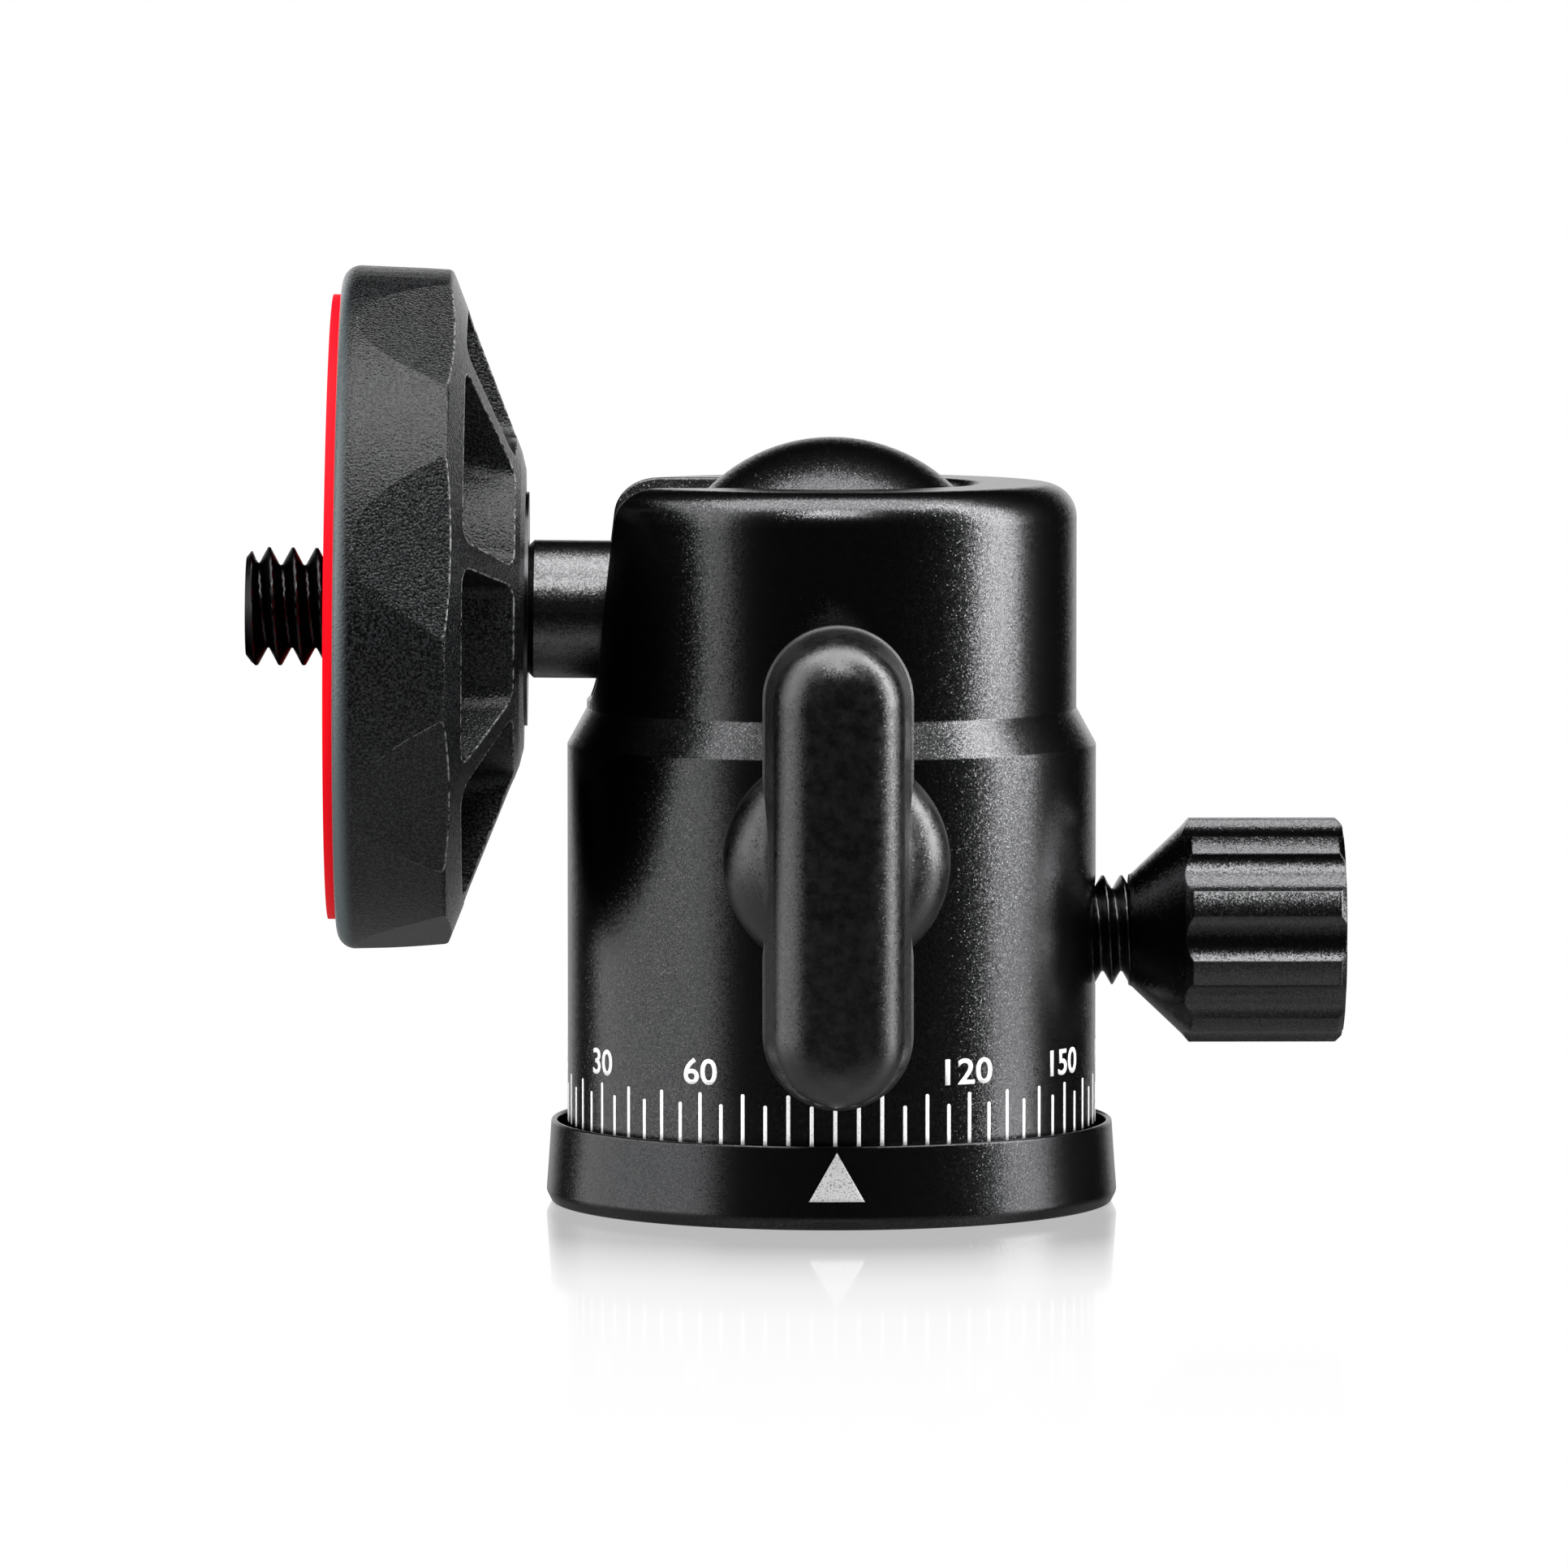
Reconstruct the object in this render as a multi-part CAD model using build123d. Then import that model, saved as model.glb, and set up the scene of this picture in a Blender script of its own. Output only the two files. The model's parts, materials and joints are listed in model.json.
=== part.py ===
from build123d import *
import os
from math import cos, hypot, radians, sin, sqrt, tan

# Single-ball tripod head, lying with its stem dropped to -X through the drop notch.
# Millimetres, +Z up. The origin is the centre of the bed disc's underside, on the pan axis.
# The clamp lever is at -Y and the pan lock knob at +X.

# ---- clearances -----------------------------------------------------------------------------------
FIT = 0.03            # between a piece and what it is pressed, screwed or dropped into
RUN = 0.05            # between surfaces that turn or slide on each other
FREE = 0.2            # between moving pieces that never touch
OVERCUT = 1.0         # how far a cutter runs past what it cuts
EDGE_ROUND = 0.2      # rounding of plain turned edges

# ---- bed disc and pan spindle ---------------------------------------------------------------------
BED_FLOOR = 2.2       # thickness of the disc's floor
BED_GAP = 0.56        # between the barrel and the inside of the rim
BED_RIM_T = 0.32      # wall of the rim at its top
BED_RIM_H = 4.42      # height of the rim's top
BED_RIM_ROUND = 0.14  # rounding of the rim's lip
BED_SPREAD = 0.27     # the rim is this much wider at its widest radius, just above the underside
BED_FOOT_H = 0.6      # height of the widest radius
BED_FOOT_IN = 0.3     # the underside is this much smaller than the widest radius
BED_ROUND = 0.5       # rounding at the widest radius
TRIPOD_R = 3.97       # hole for the 3/8"-16 tripod thread
TRIPOD_DEPTH = 9.5
SPIGOT_R = 4.6        # spindle's foot, seated in the bed disc
NECK_TOP = 8.7        # spindle's neck, where the retaining bush goes round it
HEAD_L = 7.7          # spindle's head, which the lock pad grips
HEAD_GAP = 0.45       # between the head and the housing's bore
HEAD_LEDGE = 2.0      # the head is this much larger than the neck
BED_SCREWS = 3
BED_SCREW_R = 1.0     # shank radius
BED_SCREW_HEAD_R = 1.75
BED_SCREW_L = 5.0
BED_SCREW_EDGE = 1.4  # from the screws' centres to the edge of the neck
THRUST_T = 0.5        # sliding washer between the bed disc and the housing
THRUST_IN = 0.35      # its bore is this much larger than the bush's
THRUST_EDGE = 0.55    # and its rim this much smaller than the barrel

# ---- ball, seat ring, cup and wedge -----------------------------------------------------------------
BALL_R = 9.35
BALL_GAP = 0.35       # between the ball and its bore
BALL_FOOT = 0.65      # between the wedge's high end and the bottom of the ball
SEAT_H = 3.3          # height of the nylon seat ring above the ball
CUP_TOP_DROP = 4.4    # from the ball's centre down to the cup's edge
CUP_LIFT = 0.4        # between the floor plate and the cup
CUP_ANGLE = 45.0      # angle down from the horizontal at which the cup's cone meets the ball
CUP_WELL_R = 3.5
CUP_WELL_H = 0.1
WEDGE_W = 9.0
WEDGE_H = 4.0         # from the floor plate to the high end of the ramp
WEDGE_HIGH_IN = 2.1   # the wedge's ends lie this far inside the ball's bore
WEDGE_LOW_IN = 2.3
RAMP = 12.0           # slope of the ramp
WEDGE_CHAMFER = 0.4

# ---- housing --------------------------------------------------------------------------------------
BARREL_WALL = 2.9     # of the lower barrel, with the degree scale, round the bush
COLLAR_WALL = 3.4     # of the upper barrel, round the ball
SHOULDER_H = 1.93     # conical shoulder between the two barrels
SHOULDER_DROP = 0.5   # from the notch down to the top of the shoulder
TOP_ROUND = 1.8       # rounding of the top's outer edge
LIP_T = 1.43          # thickness of the lip that holds the seat ring down
MOUTH_IN = 1.65       # the opening that the ball looks out of is this much smaller than the ball
MOUTH_GAP = 0.12      # between the ball and the lower edge of the lip
MOUTH_ROUND = 0.45
FLOOR_LEDGE = 0.55    # shoulder that the floor plate is screwed up against
BUSH_LEDGE = 1.0      # shoulder above the retaining bush
NOTCH_PLAY = 0.91     # between the stem and the drop notch, a tapered U that is open at the top
NOTCH_FLARE = 0.25    # growth of the notch's half width per mm of height
NOTCH_CORNER = 2.6
NOTCH_EDGE = 0.12     # rounding of the notch's outer edges

# ---- retaining bush, washer and floor plate ---------------------------------------------------------
BUSH_T = 4.1
SPINDLE_WASHER_T = 0.45
FLOOR_T = 1.0
SPANNER_HOLE_R = 0.8  # pairs of holes that a pin spanner turns the bush and the plate by

# ---- clamp lever ------------------------------------------------------------------------------------
LEVER_STUD_R = 2.45   # M5 stud, over its thread
LEVER_DOG_R = 1.6     # reduced tip that pushes the wedge
LEVER_DOG_IN = 0.75   # the stud is turned down to that tip this far inside the wall
HUB_GAP = 0.25        # between the barrel and the back of the hub
HUB_L = 2.5           # from the back of the hub to the back of the bar
HUB_R = 5.95
HUB_EDGE = 0.35       # thickness of the hub's edge
HUB_EDGE_ROUND = 0.12
HUB_DOME_R = 5.5      # corner that the dome is rounded over
HUB_DOME_H = 1.6      # from the back of the hub to that corner
HUB_DOME_ROUND = 2.6
HUB_NECK_R = 3.0
HUB_SINK = 0.5        # how far the dome runs into the bar
BAR_L = 25.25         # T-bar
BAR_W = 7.85
BAR_T = 7.1           # from its back to its front
BAR_REAR_T = 1.8      # from its back to the parting line
BAR_STEP = 0.12       # step in at the parting line
BAR_DRAFT = 7.0
BAR_FRONT_ROUND = 2.3
BAR_BACK_ROUND = 0.9
WAIST_HALF = 4.6      # the bar is waisted beside the hub
WAIST_DEPTH = 0.3
INSERT_R = 3.3        # threaded insert moulded into the lever
INSERT_L = 6.0

# ---- pan lock ---------------------------------------------------------------------------------------
PAN_STUD_R = 2.95     # M6 stud, over its thread
GROOVE_HALF = 1.3     # V-groove round the spindle's head
GROOVE_EDGE = 0.6     # from the groove to the top of the head
PAD_INSET = 0.15      # the nylon tip's shoulder stands this far inside the barrel's wall
PAD_BODY_T = 1.0
PAD_TIP_R = 0.4
KNOB_GAP = 1.72       # between the barrel and the back of the knob
KNOB_COLLAR_R = 2.95
KNOB_COLLAR_FLARE = 0.1
KNOB_COLLAR_L = 0.23
KNOB_CONE_L = 2.65
KNOB_CONE_R = 5.56
KNOB_CHAMFER_L = 0.4  # from the cone to the full radius
KNOB_GRIP_L = 7.85
KNOB_R = 6.02
KNOB_END_ROUND = 0.32
KNOB_DOME = 0.2
KNOB_FLUTES = 10
FLUTE_DEPTH = 0.47
FLUTE_WIDTH = 2.4
KNOB_BORE_L = 8.0

# ---- stem, platform, pad and camera screw: s is the distance from the ball's centre along the stem -----
STEM_R = 3.69
STEM_SEAT_DEPTH = 2.55  # of the stem's seat in the ball
STEM_STUD_R = 2.5     # the stem's screwed end, in the ball
STEM_STUD_L = 5.6
STEM_RISE = 0.6       # the stem stands this many degrees above the horizontal
STEM_REACH = 2.07     # from the barrel to the end of the stem
STEM_CHAMFER = 0.3
WASHER_T = 0.18
WASHER_R = 6.26
PLATE_BOSS_R = 7.5
PLATE_SHOULDER_R = 8.4
PLATE_SHOULDER_T = 0.22
PLATE_R = 18.26       # rim at the parting line
PLATE_LEAN = 0.16     # the rim is this much smaller at its back edge
PLATE_BACK_ROUND = 0.3
PLATE_CONE_T = 4.0    # from the boss to the back edge of the rim
PLATE_RIM_T = 4.86    # from there to the parting line
PLATE_FACE_T = 1.0    # and from there to the face
PLATE_FACE_LEAN = 0.02
PLATE_FACE_ROUND = 0.98
SCALLOPS = 8          # flats round the rim, with a rib behind each
SCALLOP_START = 13.7
SCALLOP_HALF = 15.7   # half angle that a flat takes at the back edge
RIB_W = 1.0
RIB_DRAFT = 4.0
BOSS_WALL = 0.7       # round the boss, inside the pockets
RIM_WALL = 2.2        # round the pockets, at the back edge
POCKET_DEPTH = 7.0
POCKET_DRAFT = 12.0
POCKET_ROUND = 0.5    # round the pockets' floors
POCKET_CORNER = 1.0   # where the ribs meet the boss and the rim
PAD_MARGIN = 1.56     # width of the face left round the pad
PAD_T = 1.0
PAD_PROUD = 0.5
SCREW_R = 3.175       # 1/4"-20 camera thread
SCREW_PROUD = 4.54
SCREW_TIP_CHAMFER = 0.5
SCREW_SHANK_R = 2.5
SCREW_SHANK_L = 4.5   # in the stem
SCREW_FLANGE_R = 5.5
SCREW_FLANGE_T = 1.2
SCREW_NECK_R = 2.5    # relief under the thread, where the screw goes through the pad

# ---- worked out from the above: radii -----------------------------------------------------------------
BALL_BORE_R = BALL_R + BALL_GAP              # bore that the ball and its cup sit in
MOUTH_R = BALL_R - MOUTH_IN
FLOOR_BORE_R = BALL_BORE_R + FLOOR_LEDGE     # bore of the floor plate and the spindle's head
BUSH_BORE_R = FLOOR_BORE_R + BUSH_LEDGE
BARREL_R = BUSH_BORE_R + BARREL_WALL
COLLAR_R = BALL_BORE_R + COLLAR_WALL
HEAD_R = FLOOR_BORE_R - HEAD_GAP
NECK_R = HEAD_R - HEAD_LEDGE
BED_SCREW_AT = NECK_R - BED_SCREW_EDGE       # radius of the ring of screws
BED_RIM_R = BARREL_R + BED_GAP + BED_RIM_T   # radius at the top of the rim
BED_R = BED_RIM_R + BED_SPREAD
BED_FOOT_R = BED_R - BED_FOOT_IN
PLATE_BACK_R = PLATE_R - PLATE_LEAN          # rim at its back edge
POCKET_IN_R = PLATE_SHOULDER_R + BOSS_WALL
POCKET_OUT_R = PLATE_BACK_R - RIM_WALL
PAD_R = PLATE_R - PAD_MARGIN

# ---- heights ------------------------------------------------------------------------------------------
HOUSING_FOOT = BED_FLOOR + THRUST_T + RUN
BUSH_BORE_TOP = NECK_TOP + RUN
WASHER_TOP = NECK_TOP - RUN
BUSH_TOP = WASHER_TOP - SPINDLE_WASHER_T
HEAD_TOP = NECK_TOP + HEAD_L
PAN_LOCK_Z = HEAD_TOP - GROOVE_EDGE - GROOVE_HALF
FLOOR_TOP = HEAD_TOP + FREE + FLOOR_T
WEDGE_FOOT = FLOOR_TOP + RUN
WEDGE_HIGH = FLOOR_TOP + WEDGE_H
LEVER_Z = WEDGE_FOOT + LEVER_DOG_R + RUN
BALL_Z = WEDGE_HIGH + BALL_FOOT + BALL_R
CUP_FOOT = FLOOR_TOP + CUP_LIFT
CUP_TOP = BALL_Z - CUP_TOP_DROP
NOTCH_BOTTOM = BALL_Z - STEM_R - NOTCH_PLAY
NOTCH_HALF = (STEM_R + NOTCH_PLAY) * (1 - NOTCH_FLARE)   # half width of the notch at its bottom
SHOULDER_TOP = NOTCH_BOTTOM - SHOULDER_DROP
SHOULDER_Z = SHOULDER_TOP - SHOULDER_H
LIP_Z = BALL_Z + sqrt(BALL_R**2 - (MOUTH_R - MOUTH_GAP) ** 2)
HOUSING_TOP = LIP_Z + LIP_T

# ---- places along the lever, the pan lock and the stem --------------------------------------------------
WEDGE_HIGH_Y = WEDGE_HIGH_IN - BALL_BORE_R
WEDGE_LOW_Y = BALL_BORE_R - WEDGE_LOW_IN
LEVER_DOG_Y = -BALL_BORE_R - LEVER_DOG_IN
HUB_BACK_Y = -BARREL_R - HUB_GAP
BAR_BACK_Y = HUB_BACK_Y - HUB_L
BAR_PART_Y = BAR_BACK_Y - BAR_REAR_T
BAR_FRONT_Y = BAR_BACK_Y - BAR_T
PAD_SHOULDER_X = FLOOR_BORE_R + PAD_INSET
PAD_BACK_X = PAD_SHOULDER_X + PAD_BODY_T
KNOB_X = BARREL_R + KNOB_GAP
KNOB_GRIP_X = KNOB_X + KNOB_COLLAR_L + KNOB_CONE_L + KNOB_CHAMFER_L
KNOB_END_X = KNOB_GRIP_X + KNOB_GRIP_L
STEM_SEAT_S = BALL_R - STEM_SEAT_DEPTH
STEM_STUD_S = STEM_SEAT_S - STEM_STUD_L
STEM_END_S = BARREL_R + STEM_REACH
PLATE_S = STEM_END_S + WASHER_T
PLATE_SHOULDER_S = PLATE_S + PLATE_SHOULDER_T
PLATE_BACK_S = PLATE_S + PLATE_CONE_T
PLATE_PART_S = PLATE_BACK_S + PLATE_RIM_T
PLATE_FACE_S = PLATE_PART_S + PLATE_FACE_T
POCKET_FLOOR_S = PLATE_S + POCKET_DEPTH
PAD_FACE_S = PLATE_FACE_S + PAD_PROUD
PAD_SEAT_S = PAD_FACE_S - PAD_T
SCREW_THREAD_S = PAD_FACE_S + FREE
SCREW_SHANK_S = STEM_END_S - SCREW_SHANK_L
SCREW_SEAT_S = PAD_SEAT_S - SCREW_FLANGE_T
SCREW_TIP_S = PAD_FACE_S + SCREW_PROUD

HEAD_FRAME = Plane(
    origin=(0, 0, BALL_Z),
    x_dir=(0, -1, 0),
    z_dir=(-cos(radians(STEM_RISE)), 0, sin(radians(STEM_RISE))),
)
LEVER_FRAME = Plane(origin=(0, 0, LEVER_Z), x_dir=(1, 0, 0), z_dir=(0, -1, 0))
PAN_LOCK_FRAME = Plane(origin=(0, 0, PAN_LOCK_Z), x_dir=(0, 1, 0), z_dir=(1, 0, 0))


def outline(*corners):
    """Closed face through (x, y) corners; a third number is that corner's rounding."""
    face = make_face(Polyline(*[corner[:2] for corner in corners], close=True))
    for corner in corners:
        if len(corner) == 3:
            face = fillet(face.vertices().sort_by_distance(corner[:2])[0], corner[2])
    return face


def turned(*corners):
    """Solid of revolution about Z from a closed outline of (radius, height) corners."""
    return revolve(Plane.XZ * outline(*corners), Axis.Z)


def rod(radius, start, end):
    """Plain round bar along Z from one height to another."""
    return Pos(0, 0, start) * Cylinder(radius, end - start, align=(Align.CENTER, Align.CENTER, Align.MIN))


def ring(inner, outer, start, end):
    return rod(outer, start, end) - rod(inner, start - OVERCUT, end + OVERCUT)


def around(shape, count, start=0.0):
    """Copies of a shape, evenly spaced round Z."""
    return [Rot(0, 0, start + 360 / count * k) * shape for k in range(count)]


# ---- bed side -----------------------------------------------------------------------------------------
def bed_screw(growth=0.0):
    """One countersunk screw with its head flush with the underside, or its hole."""
    head = BED_SCREW_HEAD_R + growth
    shank = BED_SCREW_R + growth
    screw = turned(
        (0, 0),
        (head, 0),
        (shank, head - shank),
        (shank, BED_SCREW_L + growth),
        (0, BED_SCREW_L + growth),
    )
    return Pos(BED_SCREW_AT, 0, 0) * screw


def base_disc():
    rim_inner = BED_RIM_R - BED_RIM_T
    disc = turned(
        (SPIGOT_R + FIT, 0),
        (BED_FOOT_R, 0, EDGE_ROUND),
        (BED_R, BED_FOOT_H, BED_ROUND),
        (BED_RIM_R, BED_RIM_H, BED_RIM_ROUND),
        (rim_inner, BED_RIM_H, BED_RIM_ROUND),
        (rim_inner, BED_FLOOR),
        (SPIGOT_R + FIT, BED_FLOOR),
    )
    return disc - around(bed_screw(FIT), BED_SCREWS, 90)


def base_screws():
    return around(bed_screw(), BED_SCREWS, 90)


def pan_spindle():
    root = HEAD_R - GROOVE_HALF
    spindle = turned(
        (0, 0),
        (SPIGOT_R, 0),
        (SPIGOT_R, BED_FLOOR),
        (NECK_R, BED_FLOOR),
        (NECK_R, NECK_TOP),
        (HEAD_R, NECK_TOP),
        (HEAD_R, PAN_LOCK_Z - GROOVE_HALF),
        (root, PAN_LOCK_Z),
        (HEAD_R, PAN_LOCK_Z + GROOVE_HALF),
        (HEAD_R, HEAD_TOP),
        (0, HEAD_TOP),
    )
    return spindle - rod(TRIPOD_R, 0, TRIPOD_DEPTH) - around(bed_screw(FIT), BED_SCREWS, 90)


def pan_thrust_washer():
    inner = BUSH_BORE_R + THRUST_IN
    return ring(inner, BARREL_R - THRUST_EDGE, BED_FLOOR, BED_FLOOR + THRUST_T)


# ---- housing side -------------------------------------------------------------------------------------
def notch(growth=0.0):
    """The drop notch as a solid: a tapered U that runs from the axis out past -X and up past the top."""
    bottom = NOTCH_BOTTOM - growth
    top = HOUSING_TOP + OVERCUT
    low = NOTCH_HALF + growth
    high = low + NOTCH_FLARE * (top - bottom)
    shape = outline((-low, bottom, NOTCH_CORNER), (low, bottom, NOTCH_CORNER), (high, top), (-high, top))
    return extrude(Plane((0, 0, 0), x_dir=(0, -1, 0), z_dir=(-1, 0, 0)) * shape, COLLAR_R + OVERCUT)


def housing():
    """Barrel with the stepped bore, the lip over the ball, the drop notch and the two clamp bores."""
    barrel = turned(
        (BUSH_BORE_R, HOUSING_FOOT),
        (BARREL_R, HOUSING_FOOT, EDGE_ROUND),
        (BARREL_R, SHOULDER_Z),
        (COLLAR_R, SHOULDER_TOP),
        (COLLAR_R, HOUSING_TOP, TOP_ROUND),
        (MOUTH_R, HOUSING_TOP, MOUTH_ROUND),
        (MOUTH_R, LIP_Z),
        (BALL_BORE_R, LIP_Z),
        (BALL_BORE_R, FLOOR_TOP),
        (FLOOR_BORE_R, FLOOR_TOP),
        (FLOOR_BORE_R, BUSH_BORE_TOP),
        (BUSH_BORE_R, BUSH_BORE_TOP),
    )
    slot = notch()
    body = barrel - slot
    outer_edges = [edge for edge in new_edges(barrel, slot, combined=body) if on_outside(edge)]
    body = fillet(outer_edges, NOTCH_EDGE)
    body -= LEVER_FRAME * rod(LEVER_STUD_R + RUN, 0, BARREL_R + OVERCUT)
    return body - PAN_LOCK_FRAME * rod(PAN_STUD_R + RUN, 0, BARREL_R + OVERCUT)


def on_outside(edge):
    """True for an edge on the barrel's outer wall or across its top."""
    middle = edge.center()
    wall_middle = (BALL_BORE_R + COLLAR_R) / 2
    return hypot(middle.X, middle.Y) > wall_middle or middle.Z > HOUSING_TOP - FIT


def upper_ball_seat():
    body = rod(BALL_BORE_R - FIT, LIP_Z - SEAT_H, LIP_Z)
    body -= Pos(0, 0, BALL_Z) * Sphere(BALL_R + FIT)
    return body - notch(FREE)


def spanner_holes(radius, start, end):
    return around(Pos(radius, 0, 0) * rod(SPANNER_HOLE_R, start, end), 2, 90)


def retaining_bush():
    bush = ring(NECK_R + RUN, BUSH_BORE_R - FIT, BUSH_TOP - BUSH_T, BUSH_TOP)
    return bush - spanner_holes((NECK_R + BUSH_BORE_R) / 2, BUSH_TOP - BUSH_T, BUSH_TOP - BUSH_T / 2)


def spindle_washer():
    return ring(NECK_R + RUN, HEAD_R, BUSH_TOP, WASHER_TOP)


def floor_plate():
    plate = rod(FLOOR_BORE_R - FIT, FLOOR_TOP - FLOOR_T, FLOOR_TOP)
    return plate - spanner_holes(FLOOR_BORE_R / 2, FLOOR_TOP - FLOOR_T, FLOOR_TOP)


# ---- clamp --------------------------------------------------------------------------------------------
def ramp_height(y):
    return WEDGE_HIGH - (y - WEDGE_HIGH_Y) * tan(radians(RAMP))


def ramp_slab(width, foot, low_y, high_y, lift):
    """Block across X that stands on a level foot and has the ramp as its top."""
    side = Polyline(
        (high_y, foot),
        (low_y, foot),
        (low_y, ramp_height(low_y) + lift),
        (high_y, ramp_height(high_y) + lift),
        close=True,
    )
    return extrude(Plane.YZ * make_face(side), width / 2, both=True)


def wedge_block():
    block = ramp_slab(WEDGE_W, WEDGE_FOOT, WEDGE_LOW_Y, WEDGE_HIGH_Y, 0)
    return chamfer(block.edges().filter_by(Axis.Z), WEDGE_CHAMFER)


def lower_ball_cup():
    """Cup with a conical seat under the ball and a channel with a ramped roof astride the wedge."""
    contact_r = BALL_R * sin(radians(CUP_ANGLE))
    contact_z = BALL_Z - BALL_R * cos(radians(CUP_ANGLE)) - FIT / cos(radians(CUP_ANGLE))
    slope = tan(radians(CUP_ANGLE))
    outer = BALL_BORE_R - RUN
    well_z = contact_z + (CUP_WELL_R - contact_r) * slope
    well_floor = well_z - CUP_WELL_H
    cup = turned(
        (0, CUP_FOOT),
        (outer, CUP_FOOT),
        (outer, CUP_TOP),
        (contact_r + (CUP_TOP - contact_z) / slope, CUP_TOP),
        (CUP_WELL_R, well_z),
        (CUP_WELL_R, well_floor),
        (0, well_floor),
    )
    reach = BALL_BORE_R + OVERCUT
    return cup - ramp_slab(WEDGE_W + 2 * RUN, CUP_FOOT - OVERCUT, reach, -reach, RUN)


def lever_stud():
    """Stud, turned down at its inner end to the tip that pushes the wedge."""
    return LEVER_FRAME * turned(
        (0, -WEDGE_HIGH_Y + RUN),
        (LEVER_DOG_R, -WEDGE_HIGH_Y + RUN),
        (LEVER_DOG_R, -LEVER_DOG_Y),
        (LEVER_STUD_R, -LEVER_DOG_Y),
        (LEVER_STUD_R, -HUB_BACK_Y + INSERT_L),
        (0, -HUB_BACK_Y + INSERT_L),
    )


def lever_insert():
    back = -HUB_BACK_Y
    return LEVER_FRAME * ring(LEVER_STUD_R + FIT, INSERT_R, back, back + INSERT_L)


def bar_layer(start, end, inset, draft=0.0):
    """Part of the T-bar between two depths: a round-ended slab that narrows with its draft."""
    face = SlotOverall(BAR_L - 2 * inset, BAR_W - 2 * inset, rotation=90)
    return extrude(Pos(0, 0, start) * face, end - start, taper=draft)


def bar_waists():
    """Cutters for the shallow hollows in the bar's sides beside the hub."""
    waist_r = (WAIST_HALF**2 + WAIST_DEPTH**2) / (2 * WAIST_DEPTH)
    at = BAR_W / 2 - WAIST_DEPTH + waist_r
    cutter = rod(waist_r, -BAR_BACK_Y - OVERCUT, -BAR_FRONT_Y + OVERCUT)
    return [Pos(side * at, 0, 0) * cutter for side in (-1, 1)]


def lever_grip():
    """Moulded lever: domed hub and the T-bar across it."""
    back, neck, part, front = -HUB_BACK_Y, -BAR_BACK_Y, -BAR_PART_Y, -BAR_FRONT_Y
    hub = turned(
        (0, back),
        (HUB_R, back, HUB_EDGE_ROUND),
        (HUB_R, back + HUB_EDGE, HUB_EDGE_ROUND),
        (HUB_DOME_R, back + HUB_DOME_H, HUB_DOME_ROUND),
        (HUB_NECK_R, neck + HUB_SINK),
        (0, neck + HUB_SINK),
    )
    rear = bar_layer(neck, part, 0)
    rear = fillet(rear.faces().sort_by(Axis.Z)[0].edges(), BAR_BACK_ROUND)
    nose = bar_layer(part, front, BAR_STEP, BAR_DRAFT)
    nose = fillet(nose.faces().sort_by(Axis.Z)[-1].edges(), BAR_FRONT_ROUND)
    grip = rear + nose - bar_waists() + hub
    return LEVER_FRAME * (grip - rod(INSERT_R + FIT, back - OVERCUT, back + INSERT_L + FIT))


# ---- pan lock -----------------------------------------------------------------------------------------
def pan_lock_pad():
    """Nylon tip with a cone that sits in the spindle's V-groove."""
    nose = HEAD_R - GROOVE_HALF + RUN + PAD_TIP_R
    cone_r = GROOVE_HALF - RUN
    return PAN_LOCK_FRAME * turned(
        (0, nose),
        (PAD_TIP_R, nose),
        (cone_r, nose + cone_r - PAD_TIP_R),
        (cone_r, PAD_SHOULDER_X),
        (PAN_STUD_R, PAD_SHOULDER_X),
        (PAN_STUD_R, PAD_BACK_X),
        (0, PAD_BACK_X),
    )


def pan_lock_stud():
    return PAN_LOCK_FRAME * rod(PAN_STUD_R, PAD_BACK_X + FIT, KNOB_X + KNOB_BORE_L)


def pan_knob():
    """Turned knob with a coned back, a slightly domed end and flutes round its grip."""
    cone_x = KNOB_X + KNOB_COLLAR_L
    knob = turned(
        (0, KNOB_X),
        (KNOB_COLLAR_R, KNOB_X),
        (KNOB_COLLAR_R + KNOB_COLLAR_FLARE, cone_x),
        (KNOB_CONE_R, cone_x + KNOB_CONE_L),
        (KNOB_R, KNOB_GRIP_X),
        (KNOB_R, KNOB_END_X, EDGE_ROUND),
        (KNOB_R - KNOB_END_ROUND, KNOB_END_X + KNOB_END_ROUND),
        (0, KNOB_END_X + KNOB_END_ROUND + KNOB_DOME),
    )
    knob -= rod(PAN_STUD_R + FIT, KNOB_X - OVERCUT, KNOB_X + KNOB_BORE_L + FIT)
    floor_r = KNOB_R - FLUTE_DEPTH
    chord_drop = KNOB_R - sqrt(KNOB_R**2 - (FLUTE_WIDTH / 2) ** 2)
    sagitta = FLUTE_DEPTH - chord_drop
    cutter_r = (FLUTE_WIDTH**2 / 4 + sagitta**2) / (2 * sagitta)
    cutter = Pos(floor_r + cutter_r, 0, 0) * rod(cutter_r, cone_x, KNOB_END_X + OVERCUT)
    return PAN_LOCK_FRAME * (knob - around(cutter, KNOB_FLUTES))


# ---- ball, stem and platform --------------------------------------------------------------------------
def ball():
    bore = rod(STEM_R + FIT, STEM_SEAT_S, BALL_R + OVERCUT)
    bore += rod(STEM_STUD_R + FIT, STEM_STUD_S - FIT, STEM_SEAT_S)
    return HEAD_FRAME * (Sphere(BALL_R) - bore)


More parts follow.
